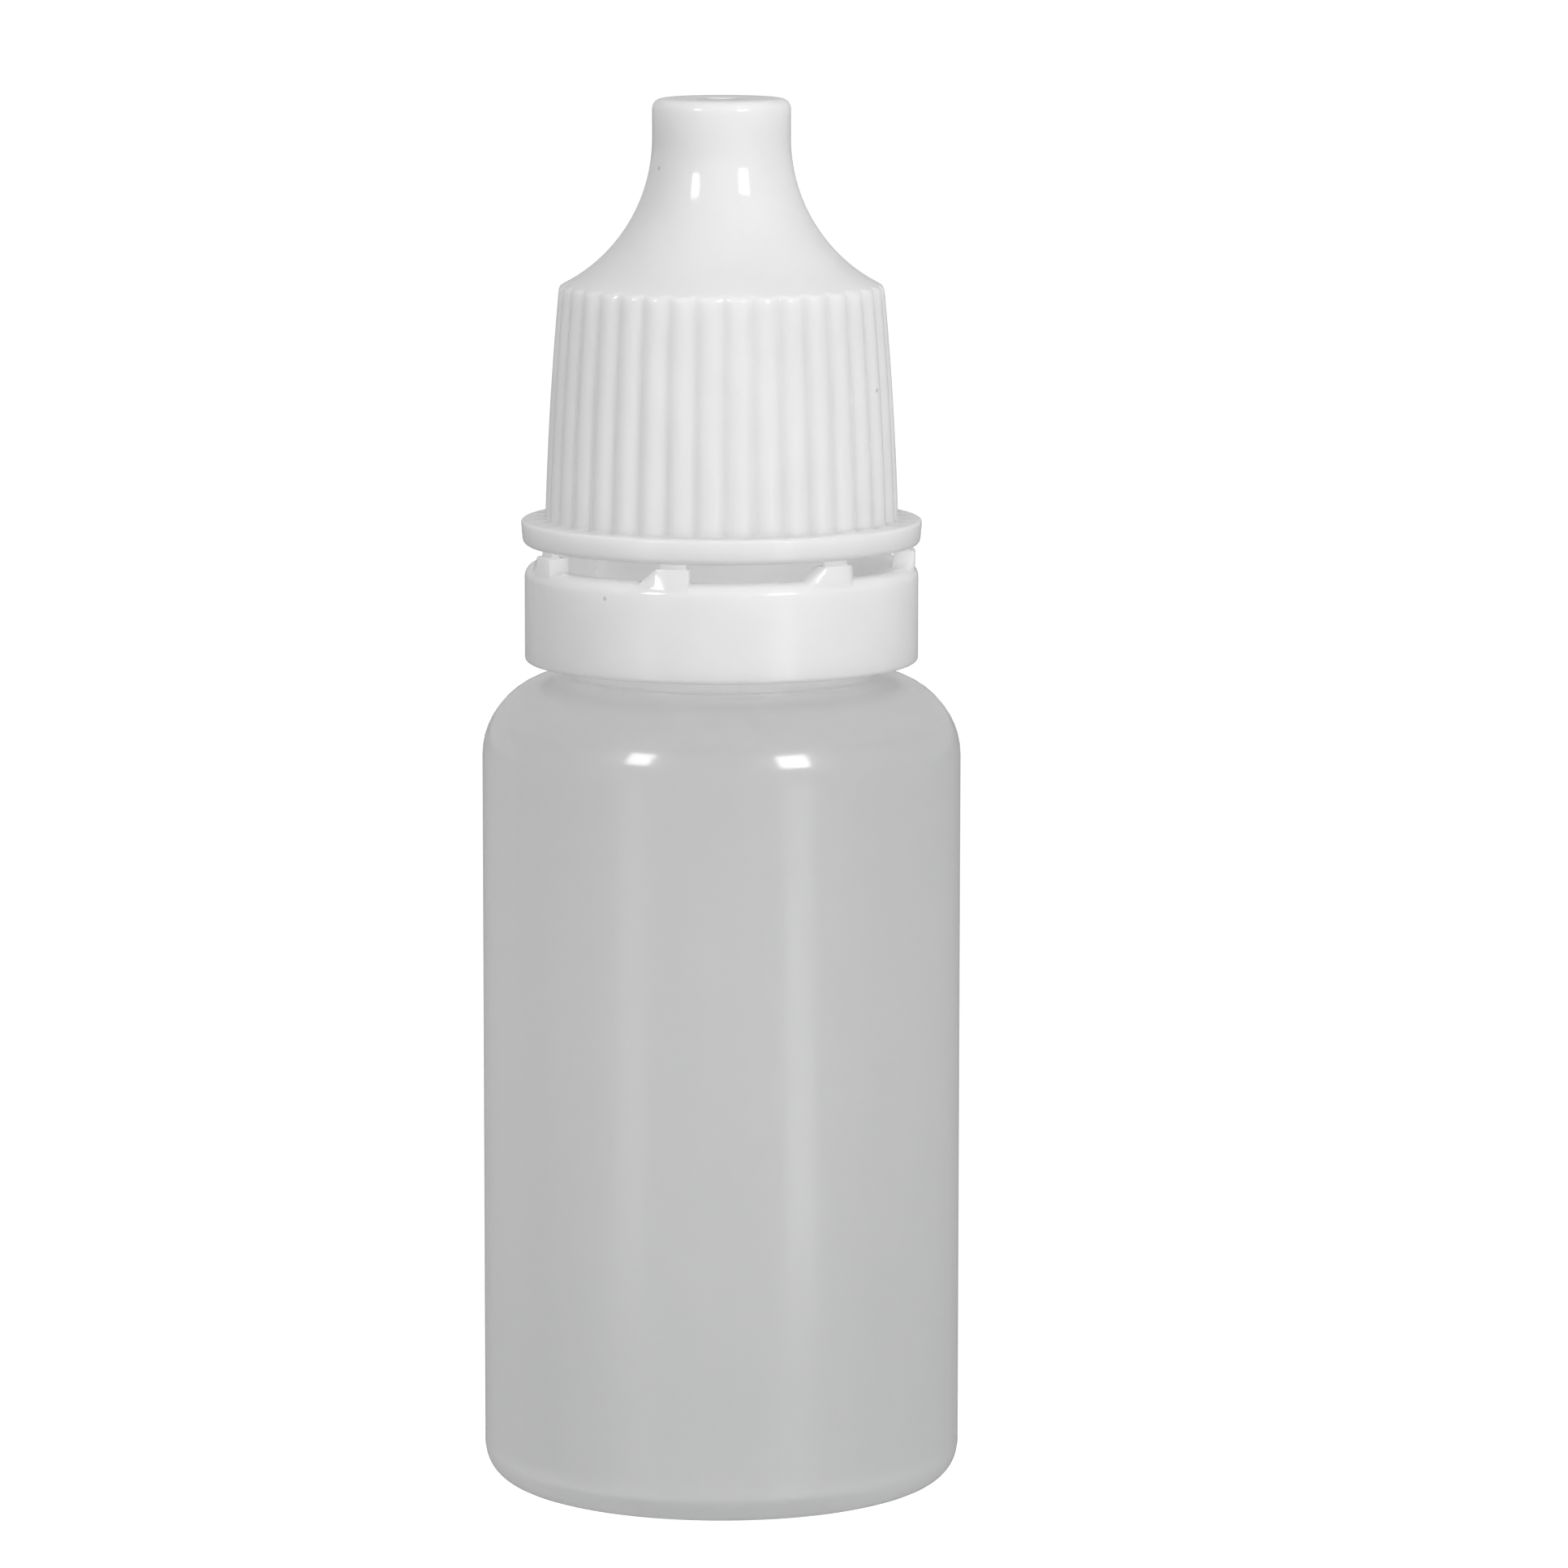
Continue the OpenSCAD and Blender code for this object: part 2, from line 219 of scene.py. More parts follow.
# %% A tree that repeats a slice round the axis
repeat_tree, given = geometry_tree("repeat_round_axis", {"Count": "NodeSocketInt"})
places = add(repeat_tree, "GeometryNodePoints", inputs={"Count": given["Count"]})
step = add(repeat_tree, "ShaderNodeMath", {"operation": "DIVIDE"}, {0: 2 * math.pi, 1: given["Count"]})
number = add(repeat_tree, "GeometryNodeInputIndex")
turn = add(
    repeat_tree, "ShaderNodeMath", {"operation": "MULTIPLY"}, {0: number.outputs[0], 1: step.outputs[0]}
)
rotation = add(
    repeat_tree, "FunctionNodeAxisAngleToRotation", inputs={"Axis": (0, 0, 1), "Angle": turn.outputs[0]}
)
slices = add(
    repeat_tree, "GeometryNodeInstanceOnPoints",
    inputs={"Points": places.outputs[0], "Instance": given["Geometry"], "Rotation": rotation.outputs[0]},
)
loose = add(repeat_tree, "GeometryNodeRealizeInstances", inputs={"Geometry": slices.outputs[0]})
joined = add(
    repeat_tree, "GeometryNodeMergeByDistance", inputs={"Geometry": loose.outputs[0], "Distance": WELD}
)
end_tree(repeat_tree, joined.outputs[0], given["Material"])
print("tree:", repeat_tree.name, "with", len(repeat_tree.nodes), "nodes")

# %% [markdown]
# The screw thread
#
# The thread is a ridge that climbs 3 mm in each turn, right-handed. A swept helix would be a separate body
# stuck into the wall, with hidden faces that show through a translucent plastic. Instead the tree moves
# the points of the wall itself. For each point it asks how far it lies, up or down, from the helix, and a
# point near it is pushed out. The ridge fades in and out at its ends, as a cutter leaves it in the mould.

# %% A tree that raises a screw thread on a round wall
WALL_TOLERANCE = 0.01 * MM

thread_tree, given = geometry_tree("screw_thread", {
    "Wall Radius": "NodeSocketFloat", "Height": "NodeSocketFloat", "Pitch": "NodeSocketFloat",
    "Crest Width": "NodeSocketFloat", "Flank Width": "NodeSocketFloat",
    "Start": "NodeSocketFloat", "Length": "NodeSocketFloat", "Fade": "NodeSocketFloat",
})
place = add(thread_tree, "GeometryNodeInputPosition").outputs[0]
part = add(thread_tree, "ShaderNodeSeparateXYZ", inputs={0: place}).outputs
outward = add(thread_tree, "ShaderNodeCombineXYZ", inputs={0: part[0], 1: part[1]}).outputs[0]
radius = add(thread_tree, "ShaderNodeVectorMath", {"operation": "LENGTH"}, {0: outward}).outputs["Value"]
on_wall = add(
    thread_tree, "FunctionNodeCompare", {"operation": "EQUAL"},
    {"A": radius, "B": given["Wall Radius"], "Epsilon": WALL_TOLERANCE},
).outputs[0]
angle = add(thread_tree, "ShaderNodeMath", {"operation": "ARCTAN2"}, {0: part[1], 1: part[0]}).outputs[0]
turns = add(thread_tree, "ShaderNodeMath", {"operation": "DIVIDE"}, {0: angle, 1: 2 * math.pi}).outputs[0]
climb = add(
    thread_tree, "ShaderNodeMath", {"operation": "MULTIPLY"}, {0: turns, 1: given["Pitch"]}
).outputs[0]
above = add(
    thread_tree, "ShaderNodeMath", {"operation": "SUBTRACT"}, {0: part[2], 1: given["Start"]}
).outputs[0]
untwisted = add(thread_tree, "ShaderNodeMath", {"operation": "SUBTRACT"}, {0: above, 1: climb}).outputs[0]
half_pitch = add(
    thread_tree, "ShaderNodeMath", {"operation": "MULTIPLY"}, {0: given["Pitch"], 1: 0.5}
).outputs[0]
below_half = add(
    thread_tree, "ShaderNodeMath", {"operation": "MULTIPLY"}, {0: given["Pitch"], 1: -0.5}
).outputs[0]
from_helix = add(
    thread_tree, "ShaderNodeMath", {"operation": "WRAP"}, {0: untwisted, 1: half_pitch, 2: below_half}
).outputs[0]
helix_height = add(
    thread_tree, "ShaderNodeMath", {"operation": "SUBTRACT"}, {0: above, 1: from_helix}
).outputs[0]
distance = add(thread_tree, "ShaderNodeMath", {"operation": "ABSOLUTE"}, {0: from_helix}).outputs[0]
crest_half = add(
    thread_tree, "ShaderNodeMath", {"operation": "MULTIPLY"}, {0: given["Crest Width"], 1: 0.5}
).outputs[0]
foot_half = add(
    thread_tree, "ShaderNodeMath", {"operation": "ADD"}, {0: crest_half, 1: given["Flank Width"]}
).outputs[0]
ridge = add(
    thread_tree, "ShaderNodeMapRange", {"interpolation_type": "SMOOTHSTEP"},
    {"Value": distance, "From Min": foot_half, "From Max": crest_half},
).outputs[0]
fade_in = add(
    thread_tree, "ShaderNodeMapRange", {"interpolation_type": "SMOOTHSTEP"},
    {"Value": helix_height, "From Min": 0.0, "From Max": given["Fade"]},
).outputs[0]
last_height = add(
    thread_tree, "ShaderNodeMath", {"operation": "SUBTRACT"}, {0: given["Length"], 1: given["Fade"]}
).outputs[0]
fade_out = add(
    thread_tree, "ShaderNodeMapRange", {"interpolation_type": "SMOOTHSTEP"},
    {"Value": helix_height, "From Min": given["Length"], "From Max": last_height},
).outputs[0]
both_fades = add(
    thread_tree, "ShaderNodeMath", {"operation": "MULTIPLY"}, {0: fade_in, 1: fade_out}
).outputs[0]
share = add(thread_tree, "ShaderNodeMath", {"operation": "MULTIPLY"}, {0: ridge, 1: both_fades}).outputs[0]
rise = add(
    thread_tree, "ShaderNodeMath", {"operation": "MULTIPLY"}, {0: share, 1: given["Height"]}
).outputs[0]
direction = add(thread_tree, "ShaderNodeVectorMath", {"operation": "NORMALIZE"}, {0: outward}).outputs[0]
push = add(
    thread_tree, "ShaderNodeVectorMath", {"operation": "SCALE"}, {0: direction, "Scale": rise}
).outputs[0]
moved = add(
    thread_tree, "GeometryNodeSetPosition",
    inputs={"Geometry": given["Geometry"], "Selection": on_wall, "Offset": push},
)
end_tree(thread_tree, moved.outputs[0], given["Material"])
print("tree:", thread_tree.name, "with", len(thread_tree.nodes), "nodes")

# %% [markdown]
# Finishing a piece
#
# A modifier is a recipe, and the finished piece has to be a plain mesh, so the result of the trees is
# copied and the modifiers go. Points that coincide are welded, and the faces are turned outward. The mesh
# is shaded smooth, except where two faces meet at more than a crease angle. The bottle and the cap get a
# wider angle, because the steep flanks of their threads and the valleys between the ribs are round on the
# real mouldings.

# %% Finish a piece as one plain mesh
CREASE, SOFT_CREASE = math.radians(38), math.radians(75)


def finished(piece, node, body, crease=CREASE):
    """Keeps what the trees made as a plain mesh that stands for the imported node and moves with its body."""
    graph = bpy.context.evaluated_depsgraph_get()
    mesh = bpy.data.meshes.new_from_object(piece.evaluated_get(graph))
    piece.modifiers.clear()
    piece.data = mesh
    shape = bmesh.new()
    shape.from_mesh(mesh)
    bmesh.ops.remove_doubles(shape, verts=shape.verts, dist=WELD)
    bmesh.ops.recalc_face_normals(shape, faces=shape.faces)
    open_edges = sum(not edge.is_manifold for edge in shape.edges)
    volume = shape.calc_volume()
    shape.to_mesh(mesh)
    shape.free()
    mesh.shade_smooth()
    mesh.set_sharp_from_angle(angle=crease)
    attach(piece, body)
    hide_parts(node)
    triangles = sum(len(face.vertices) - 2 for face in mesh.polygons)
    print(piece.name, triangles, "triangles,", open_edges, "open edges,", round(volume / MM ** 3, 1), "mm3")


# %% [markdown]
# Colours, and light that goes through thin walls
#
# Colours are written as they look on a screen, and one function turns them into the linear numbers that a
# shader wants. The walls of this object are about 1 mm thick, and daylight goes right through them. That is
# why the photograph has no dark place under the cap's lip, in the windows of the band or in the grooves. A
# renderer could follow such light only by slow and noisy paths. So each face lets most of the light of the
# lamps and the surroundings pass on, while the camera and mirroring rays see the plastic itself.

# %% Turn hex colours into linear ones
def linear(hex_colour):
    """An sRGB hex colour as the linear red, green, blue and alpha that shaders use."""
    channels = [int(hex_colour[i:i + 2], 16) / 255 for i in (1, 3, 5)]
    return [c / 12.92 if c <= 0.04045 else ((c + 0.055) / 1.055) ** 2.4 for c in channels] + [1.0]


print("a screen grey of 128 as a linear number:", round(linear("#808080")[0], 3))

# %% Let light go through a face
LIGHT_THROUGH_FACE = 0.92


def let_light_through(tree, surface):
    """Ends a material so that light from lamps and surroundings partly goes on through the plastic."""
    rays = add(tree, "ShaderNodeLightPath").outputs
    light = add(
        tree, "ShaderNodeMath", {"operation": "MAXIMUM"},
        {0: rays["Is Shadow Ray"], 1: rays["Is Diffuse Ray"]},
    ).outputs[0]
    passed = add(tree, "ShaderNodeMath", {"operation": "MULTIPLY"}, {0: light, 1: LIGHT_THROUGH_FACE})
    clear = add(tree, "ShaderNodeBsdfTransparent").outputs[0]
    mixed = add(tree, "ShaderNodeMixShader", inputs={0: passed.outputs[0], 1: surface, 2: clear})
    add(tree, "ShaderNodeOutputMaterial", inputs={"Surface": mixed.outputs[0]})


def new_material(name):
    """An empty node material."""
    material = bpy.data.materials.new(name)
    material.use_nodes = True
    material.node_tree.nodes.clear()
    return material


# %% [markdown]
# Natural polyethylene
#
# The bottle is low-density polyethylene without any pigment, blown into its mould, and the dropper tip is
# the same plastic injected. It is soft and a little cloudy: light gets into it, wanders about and comes out
# again, so it looks grey and milky and never clear. Subsurface scattering over 25 mm gives it that even
# shade. Its refractive index is 1.51. The blasted mould leaves it satin, with a roughness of 0.3, and a
# smoother skin over that keeps a lamp as a small tight spot. The bottle's grey is painted darker low down,
# as shade, and whiter at the shoulder and the neck, partly for the thicker wall there and partly as painted
# light. The clouds are some 6 mm wide, the faint upright streaks come from the hot tube that it was blown
# from, and the grain is 0.2 mm, coarser than the real one so that it shows.

# %% Natural polyethylene, blown or injected
TONE_TOP = 50 * MM
NOISE_LOW, NOISE_HIGH = 0.3, 0.7
LDPE_CLOUD, LDPE_STREAK, LDPE_GRAIN = 6 * MM, 2.2 * MM, 0.2 * MM
STREAK_SHARE, DRAWN_OUT = 0.45, (1, 1, 0.06)
LDPE_IOR, LDPE_MILKINESS = 1.51, 25 * MM


def natural_polyethylene(name, tones, roughness):
    """Cloudy unpigmented plastic. Its tones are pairs of a height in mm and the grey painted there, which may
    hold painted light and shade.
    """
    material = new_material(name)
    tree = material.node_tree
    spot = add(tree, "ShaderNodeTexCoord").outputs["Object"]
    clouds = add(
        tree, "ShaderNodeTexNoise", inputs={"Vector": spot, "Scale": 1 / LDPE_CLOUD, "Detail": 3.0}
    ).outputs[0]
    upright = add(tree, "ShaderNodeMapping", inputs={"Vector": spot, "Scale": DRAWN_OUT}).outputs[0]
    streaks = add(
        tree, "ShaderNodeTexNoise", inputs={"Vector": upright, "Scale": 1 / LDPE_STREAK, "Detail": 2.0}
    ).outputs[0]
    mottle = add(
        tree, "ShaderNodeMix", {"data_type": "FLOAT"}, {0: STREAK_SHARE, 2: clouds, 3: streaks}
    ).outputs[0]
    cloudy = add(
        tree, "ShaderNodeMapRange",
        inputs={"Value": mottle, "From Min": NOISE_LOW, "From Max": NOISE_HIGH, "To Min": 0.95},
    ).outputs[0]
    height = add(tree, "ShaderNodeSeparateXYZ", inputs={0: spot}).outputs["Z"]
    up_share = add(tree, "ShaderNodeMath", {"operation": "DIVIDE"}, {0: height, 1: TONE_TOP}).outputs[0]
    tint = add(tree, "ShaderNodeValToRGB", inputs={0: up_share})
    ramp = tint.color_ramp
    ramp.elements.remove(ramp.elements[1])
    ramp.elements[0].color = linear(tones[0][1])
    for up, tone in tones[1:]:
        ramp.elements.new(up * MM / TONE_TOP).color = linear(tone)
    colour = add(
        tree, "ShaderNodeVectorMath", {"operation": "SCALE"}, {0: tint.outputs[0], "Scale": cloudy}
    ).outputs[0]
    grain = add(
        tree, "ShaderNodeTexNoise", inputs={"Vector": spot, "Scale": 1 / LDPE_GRAIN, "Detail": 2.0}
    ).outputs[0]
    dull = add(
        tree, "ShaderNodeMapRange",
        inputs={
            "Value": clouds, "From Min": NOISE_LOW, "From Max": NOISE_HIGH,
            "To Min": roughness, "To Max": roughness + 0.05,
        },
    ).outputs[0]
    bump = add(
        tree, "ShaderNodeBump", inputs={"Strength": 0.25, "Distance": 0.004 * MM, "Height": grain}
    ).outputs[0]
    plastic = add(tree, "ShaderNodeBsdfPrincipled", inputs={
        "Base Color": colour, "Roughness": dull, "IOR": LDPE_IOR, "Normal": bump,
        "Subsurface Weight": 1.0, "Subsurface Radius": (1.0, 1.0, 1.0), "Subsurface Scale": LDPE_MILKINESS,
        "Coat Weight": 1.0, "Coat Roughness": 0.1, "Coat IOR": LDPE_IOR,
    })
    let_light_through(tree, plastic.outputs[0])
    print("material:", material.name)
    return material


# These greys paint shade towards the bottom, and paint light at the shoulder and neck over a whiter, thicker
# wall.
wall_tones_with_painted_light = [(0, "#ACADAF"), (6, "#ACADAF"), (22, "#C0C1C3"), (35.5, "#C0C1C3"), (37.3, "#F4F5F6")]
blown_ldpe = natural_polyethylene("blown_natural_polyethylene", wall_tones_with_painted_light, 0.3)
moulded_ldpe = natural_polyethylene("moulded_natural_polyethylene", [(0, "#D8D9DA")], 0.24)

# %% [markdown]
# White polypropylene
#
# The cap and the band are injection moulded from white polypropylene. The mould is polished, so they keep
# small sharp lights on their rounds, at a roughness near 0.1 and a refractive index of 1.49. The white
# pigment spreads light over 1.5 mm, which fills the grooves between the ribs with a soft glow. The white is
# not quite even: a few grey specks 0.2 mm wide sit in it, and handling has dulled it in places.

# %% Moulded white polypropylene
PP_CLOUD, PP_RUB, PP_IOR, PP_GLOW_DEPTH = 5 * MM, 2.5 * MM, 1.49, 1.5 * MM
SPECK_CELL, SPECK_SIZE, SPECK_RARITY, SPECK_STRENGTH = 2.4 * MM, 0.04, 0.75, 0.5


def white_polypropylene(name, white, shade):
    """The white plastic between two near whites, with specks and slightly uneven gloss."""
    material = new_material(name)
    tree = material.node_tree
    spot = add(tree, "ShaderNodeTexCoord").outputs["Object"]
    clouds = add(
        tree, "ShaderNodeTexNoise", inputs={"Vector": spot, "Scale": 1 / PP_CLOUD, "Detail": 3.0}
    ).outputs[0]
    tint = add(tree, "ShaderNodeValToRGB", inputs={0: clouds})
    tint.color_ramp.elements[0].position = 0.35
    tint.color_ramp.elements[0].color = linear(shade)
    tint.color_ramp.elements[1].position = 0.65
    tint.color_ramp.elements[1].color = linear(white)
    cells = add(tree, "ShaderNodeTexVoronoi", inputs={"Vector": spot, "Scale": 1 / SPECK_CELL})
    near = add(
        tree, "ShaderNodeMath", {"operation": "LESS_THAN"}, {0: cells.outputs["Distance"], 1: SPECK_SIZE}
    ).outputs[0]
    lot = add(tree, "ShaderNodeSeparateColor", inputs={0: cells.outputs["Color"]}).outputs[0]
    few = add(tree, "ShaderNodeMath", {"operation": "GREATER_THAN"}, {0: lot, 1: SPECK_RARITY}).outputs[0]
    speck = add(tree, "ShaderNodeMath", {"operation": "MULTIPLY"}, {0: near, 1: few}).outputs[0]
    faint = add(
        tree, "ShaderNodeMath", {"operation": "MULTIPLY"}, {0: speck, 1: SPECK_STRENGTH}
    ).outputs[0]
    colour = add(
        tree, "ShaderNodeMix", {"data_type": "RGBA"},
        {0: faint, 6: tint.outputs[0], 7: linear("#A9A9A8")},
    ).outputs[2]
    rubbed = add(
        tree, "ShaderNodeTexNoise", inputs={"Vector": spot, "Scale": 1 / PP_RUB, "Detail": 2.0}
    ).outputs[0]
    gloss = add(
        tree, "ShaderNodeMapRange",
        inputs={
            "Value": rubbed, "From Min": NOISE_LOW, "From Max": NOISE_HIGH,
            "To Min": 0.07, "To Max": 0.11,
        },
    ).outputs[0]
    bump = add(
        tree, "ShaderNodeBump", inputs={"Strength": 0.15, "Distance": 0.01 * MM, "Height": rubbed}
    ).outputs[0]
    plastic = add(tree, "ShaderNodeBsdfPrincipled", inputs={
        "Base Color": colour, "Roughness": gloss, "IOR": PP_IOR, "Normal": bump,
        "Subsurface Weight": 1.0, "Subsurface Radius": (1.0, 1.0, 1.0), "Subsurface Scale": PP_GLOW_DEPTH,
    })
    let_light_through(tree, plastic.outputs[0])
    print("material:", material.name)
    return material


cap_white = white_polypropylene("moulded_white_polypropylene_cap", "#EAEAEA", "#E6E6E6")
band_white = white_polypropylene("moulded_white_polypropylene_band", "#EAEAEA", "#E6E6E6")

# %% [markdown]
# The bottle
#
# The bottle is blown in a mould of two halves, so a hair-fine parting line runs up each side, and where
# the mould pinched off the tube a short ridge crosses the pushed-up floor. The wall is 0.9 mm thick. Only
# its outside follows the mould: the inside is a plain, rounder copy of it.

# %% Sizes of the bottle in millimetres
bottle_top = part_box("bottle")[1] / MM
band_low, band_top = (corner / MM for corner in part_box("tamper_band"))
body_r, mouth_z = bottle_top.x, bottle_top.z
shoulder_z, shoulder_round = 37.65, 3.75
foot_round, wall, floor = 1.6, 0.9, 1.1
hollow_r, hollow_h = 7.0, 0.7
neck_r, bore_r, neck_root_r = 5.75, 4.5, 7.0
collar_r, collar_z, collar_top_z, collar_slope_z = 7.65, 40.0, 40.6, 41.5
thread_pitch, thread_h, thread_row = 3.0, 0.65, 0.1
crest_w, flank_w, thread_fade = 0.55, 0.35, 0.5
neck_thread_z, thread_length = 43.1, 6.5
print("bottle:", round(body_r * 2, 2), "mm across, mouth at", round(mouth_z, 2), "mm")

# %% The bottle's section at an angle
seam_half, seam_h, seam_end_z = 0.15, 0.03, shoulder_z - 1
pinch_length, pinch_h, pinch_fade = 5.6, 0.2, 0.8
dome_r = hollow_r ** 2 / (2 * hollow_h) + hollow_h / 2
dome_z = hollow_h - dome_r


def dome(r, grow=0.0):
    """Height of the pushed-up floor at radius r, on its underside or, grown by the floor, on top."""
    return dome_z + math.sqrt((dome_r + grow) ** 2 - r * r)


def bottle_section(angle):
    """The section from the middle of the underside, up the outside and down the inside."""
    underside = [(r, dome(r), 0) for r in (0, 0.1, 0.2, 0.4, 0.8, 1.4, 2.2, 3, 3.8, 4.6, 5.2, 5.6, 6.2)]
    neck_rows = levels(neck_thread_z - 1, neck_thread_z + thread_length + 1, thread_row)
    outside = rounded(underside + [
        (hollow_r, 0, 0.4), (body_r, 0, foot_round), (body_r, shoulder_z, shoulder_round),
        (neck_root_r + 0.1, shoulder_z, 0),
    ], steps=12)
    neck = rounded([
        (neck_root_r + 0.1, shoulder_z, 0),
        (neck_root_r, shoulder_z, 0.1), (neck_root_r, collar_z, 0.12), (collar_r, collar_z, 0.12),
        (collar_r, collar_top_z, 0.15), (neck_r, collar_slope_z, 0.25),
        *((neck_r, z, 0) for z in neck_rows), (neck_r, mouth_z - 0.3, 0.1), (neck_r - 0.3, mouth_z, 0.1),
        (bore_r, mouth_z, 0.15),
    ])[1:]
    inner_r, inner_floor_r = body_r - wall, 7.1
    inside = rounded([
        (bore_r, mouth_z - 1, 0), (bore_r, shoulder_z - wall, 0.6),
        (inner_r, shoulder_z - wall, shoulder_round - wall), (inner_r, floor, foot_round - wall),
        (inner_floor_r, floor, 0.3), (5.0, dome(5.0, floor), 0), (2.5, dome(2.5, floor), 0),
        (0, dome(0, floor), 0),
    ], steps=8)
    lean = math.cos(angle)
    seamed = []
    for i, (r, z) in enumerate(outside + neck):
        seam = smooth(1 - abs(r * lean) / seam_half)
        if i < len(underside):
            z -= pinch_h * seam * smooth((pinch_length + pinch_fade / 2 - r) / pinch_fade)
        elif z < seam_end_z:
            r += seam_h * seam * smooth(z / foot_round)
        seamed.append((r, z))
    return seamed + inside


print("bottle section:", len(bottle_section(0)), "points")

# %% Turn the bottle
near_seam = [0, 0.4, 0.8, 1.4] + [2.5 * i for i in range(1, 37)]
bottle_degrees = sorted({(90 + side * a) % 360 for a in near_seam for side in (-1, 1)}
                        | {(270 + side * a) % 360 for a in near_seam for side in (-1, 1)})
bottle = skinned("bottle_blown", [math.radians(a) for a in bottle_degrees], bottle_section)
run_tree(bottle, thread_tree, {
    "Material": blown_ldpe, "Wall Radius": neck_r * MM, "Height": thread_h * MM,
    "Pitch": thread_pitch * MM, "Crest Width": crest_w * MM, "Flank Width": flank_w * MM,
    "Start": neck_thread_z * MM, "Length": thread_length * MM, "Fade": thread_fade * MM,
})
finished(bottle, "bottle", "bottle", SOFT_CREASE)

# %% [markdown]
# The dropper tip
#
# The tip is a plug with two sealing beads, a flange that rests on the mouth and a tapered nozzle. Its bore
# narrows to a channel and then to the small orifice that measures the drop. It is moulded from the same
# natural polyethylene as the bottle, but injected, which leaves it a little smoother.

# %% Turn the dropper tip
tip_low, tip_top = (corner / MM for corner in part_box("dropper_tip"))
flange_r, flange_z = 5.35, mouth_z + 1.0
plug_r, plug_bore_r, bead_h = 4.35, 3.3, 0.7
root_r, end_r = 2.9, 1.75
channel_r, orifice_r, flare_r, flare_h, orifice_l = 0.6, 0.3, 0.95, 0.6, 0.8
taper_z, taper_h = mouth_z - 2.0, 6.4
lower_bead_z, upper_bead_z = tip_low.z + 2.0, mouth_z - 2 * bead_h


def bead(z):
    """The three corners of a sealing bead that starts at height z."""
    return [(plug_r, z, 0), (bore_r, z + bead_h / 2, 0.1), (plug_r, z + bead_h, 0)]


tip_section = rounded([
    (plug_bore_r, tip_low.z, 0.1), (plug_r - 0.3, tip_low.z, 0.1), (plug_r, tip_low.z + 0.6, 0.2),
    *bead(lower_bead_z), *bead(upper_bead_z),
    (plug_r, mouth_z, 0), (flange_r, mouth_z, 0.15), (flange_r, flange_z, 0.2), (root_r, flange_z, 0.35),
    (end_r, tip_top.z, 0.2), (flare_r, tip_top.z, 0.1), (orifice_r, tip_top.z - flare_h, 0),
    (orifice_r, tip_top.z - flare_h - orifice_l, 0), (channel_r, tip_top.z - flare_h - orifice_l, 0),
    (channel_r, taper_z + taper_h, 0), (plug_bore_r, taper_z, 0.3),
], steps=5)
tip = skinned("dropper_tip_moulded", full_turn(96), lambda angle: tip_section, closed_section=True)
tip.data.materials.append(moulded_ldpe)
finished(tip, "dropper_tip", "bottle")

# %% [markdown]
# The screw cap
#
# The cap's crown flares down in a hollow sweep to 36 round-backed ribs, which lean out and bow a little on
# their way to the lip. Each rib cuts the sweep in its own small arch, so the rim is a row of knobs. The
# photograph shades the ribs very softly, so their arcs are wide and shallow and the valley between two of
# them is rounded too. One slice of 10 degrees, from the dimple on top to the pin inside, holds all of this.
# The slice is drawn by a formula and the node tree repeats it 36 times, which is far easier to shape well
# than 36 joined rods.

# %% Sizes of the cap in millimetres
cap_low, cap_top = (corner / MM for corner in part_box("screw_cap"))
cap_z, crown_top_z, lip_r = cap_low.z, cap_top.z, cap_top.x
crown_r, crown_h, crown_edge = 3.17, 1.8, 0.45
dimple_r, dimple_h = 0.75, 0.35
sweep_r, sweep_z = 7.5, crown_top_z - crown_h
lip_top_z, lip_draw = cap_z + 1.15, 0.1
cap_bore_r, cap_wall, lead_in = 6.65, 1.0, 0.25
core_top_r, core_foot_r = 7.10, 7.77
rib_count, rib_turn, rib_h, rib_r, rib_bow, valley_round = 36, -4, 0.35, 0.9, 0.09, 0.25
rib_pitch = 2 * math.pi / rib_count
pin_root_r, pin_end_r, pin_h = 0.83, 0.59, 0.45
cap_thread_h, cap_thread_z, cap_thread_length = 0.6, neck_thread_z + thread_pitch / 2, 6.0
print("cap:", round(crown_top_z - cap_z, 2), "mm tall,", round(lip_r * 2, 2), "mm across the lip")


# %% The skirt's radius at any height and angle
def sweep_height(r):
    """Height of the hollow sweep where it has grown to radius r."""
    return sweep_z - math.sqrt(sweep_r ** 2 - (crown_r + sweep_r - r) ** 2)


core_top_z, rim_z = sweep_height(core_top_r), sweep_height(core_top_r + rib_h)


def skirt(offset, z):
    """Radius of the ribbed skirt at height z, at an angle from the middle of the nearest rib."""
    down = (core_top_z - z) / (core_top_z - lip_top_z)
    back = (core_top_r + rib_h) + (core_foot_r - core_top_r) * (rim_z - z) / (rim_z - lip_top_z)
    back += 4 * rib_bow * down * (1 - down)
    middle = back - rib_r
    ribs = []
    for side in (abs(offset), rib_pitch - abs(offset)):
        reach = rib_r ** 2 - (middle * math.sin(side)) ** 2
        ribs.append(middle * math.cos(side) + math.sqrt(max(reach, 0)))
    valley = max(1 - abs(ribs[0] - ribs[1]) / valley_round, 0)
    return max(ribs) + valley_round * valley ** 2 / 4


rib_top_r, valley_r = skirt(0, rim_z), skirt(rib_pitch / 2, rim_z)
print("rim:", round(rib_top_r, 2), "mm on a rib and", round(valley_r, 2), "mm in a valley")

# %% The cap's section at an angle
sweep_steps, skirt_steps, dimple_steps, ceiling_steps = 44, 18, 6, 10


